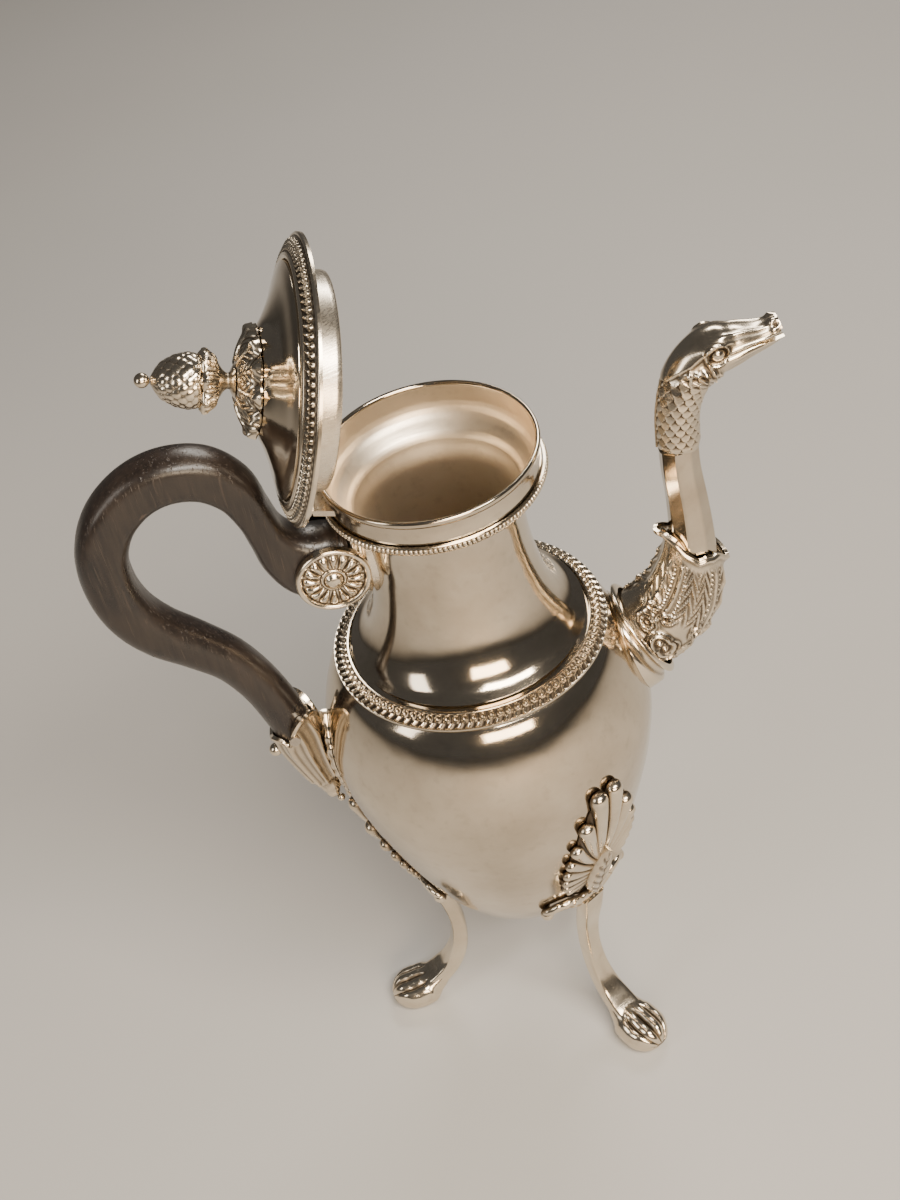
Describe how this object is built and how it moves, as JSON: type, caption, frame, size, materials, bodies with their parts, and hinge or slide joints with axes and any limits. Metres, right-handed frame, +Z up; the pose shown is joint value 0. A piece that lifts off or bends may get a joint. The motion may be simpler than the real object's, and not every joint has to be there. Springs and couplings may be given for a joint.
{
  "type": "coffee pot",
  "caption": "Silver coffee pot on paw feet, egg-shaped body, animal-head spout, hinged domed lid with cone finial and black wooden loop handle.",
  "frame": {"origin": "on the ground, at the middle of the pot's bounding box, which lies on the vessel's own axis", "axes": "+Z up, +X towards the spout, -X towards the handle, the pot is symmetric about the XZ plane; the lid is open at rest"},
  "size_m": [0.2011, 0.1, 0.3008],
  "materials": {
    "polished_silver": "polished silver, lightly tarnished",
    "chased_silver": "cast and chased silver, darker in the recesses",
    "steel_pin": "plain drawn wire",
    "black_wood": "blackened hardwood, waxed"
  },
  "bodies": {
    "pot": {"bowl": "polished_silver", "neck": "polished_silver", "shoulder_band": "chased_silver", "rim_collar": "polished_silver", "bead_ring": "chased_silver", "spout_flange": "chased_silver", "spout_calyx": "chased_silver", "spout_tube": "polished_silver", "spout_head": "chased_silver", "body_hinge_leaf": "polished_silver", "hinge_pin": "steel_pin", "handle_wood": "black_wood", "handle_rosette_left": "chased_silver", "handle_rosette_right": "chased_silver", "handle_top_pin": "steel_pin", "handle_bracket": "polished_silver", "handle_socket": "chased_silver", "handle_low_pin": "steel_pin", "handle_leaf": "chased_silver", "foot_rear": "chased_silver", "foot_left": "chased_silver", "foot_right": "chased_silver", "palmette_rear": "chased_silver", "palmette_left": "chased_silver", "palmette_right": "chased_silver"},
    "lid": {"lid_border": "chased_silver", "lid_dome": "polished_silver", "lid_bezel": "polished_silver", "lid_calyx": "chased_silver", "finial_stem": "chased_silver", "finial_cone": "chased_silver", "finial_ball": "polished_silver", "finial_nut": "polished_silver", "lid_hinge_leaf": "polished_silver"}
  },
  "joints": [
    {"name": "lid_hinge", "type": "hinge", "parent": "pot", "child": "lid", "pos_m": [-0.03555, 0, 0.2294], "axis": [0, 1, 0], "range_deg": [0, 72]}
  ]
}
